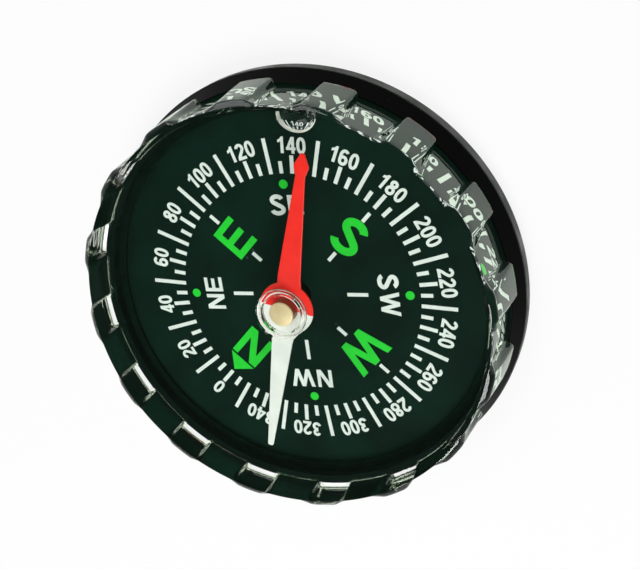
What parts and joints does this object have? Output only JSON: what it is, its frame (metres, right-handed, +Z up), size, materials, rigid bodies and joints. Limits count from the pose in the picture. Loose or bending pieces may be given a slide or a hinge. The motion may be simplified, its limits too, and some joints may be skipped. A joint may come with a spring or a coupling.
{
  "type": "pocket compass",
  "caption": "Round liquid-filled pocket compass: black base cup, printed degree dial, clear lobed cover and a magnetised needle that turns freely on a jewelled pivot.",
  "frame": {"origin": "centre of the base's flat underside", "axes": "+Z up along the needle's pivot, +Y towards the N mark of the dial, +X towards E"},
  "size_m": [0.045, 0.045, 0.0102],
  "materials": {
    "case_black": "glossy moulded black plastic",
    "plug_black": "matt black plug",
    "dial_black": "printed dial, black with a green cast",
    "seal_rubber": "black rubber seal",
    "clear_acrylic": "clear polished plastic",
    "pin_steel": "ground steel",
    "needle_paint": "red lacquer, white on the tail half",
    "cap_brass": "turned brass, pale and bright on top",
    "jewel_glass": "polished hard cup",
    "white_ink": "white printed ink",
    "green_ink": "green luminous printed ink"
  },
  "bodies": {
    "case": {"base_cup": "case_black", "fill_plug": "plug_black", "dial_plate": "dial_black", "cover_seal": "seal_rubber", "clear_cover": "clear_acrylic", "pivot_pin": "pin_steel", "scale_marks": "white_ink", "luminous_marks": "green_ink"},
    "needle": {"needle_blade": "needle_paint", "bearing_cap": "cap_brass", "pivot_jewel": "jewel_glass"}
  },
  "joints": [
    {"name": "needle_spin", "type": "hinge", "parent": "case", "child": "needle", "pos_m": [0, 0, 0.0081], "axis": [0, 0, 1], "continuous": true}
  ]
}
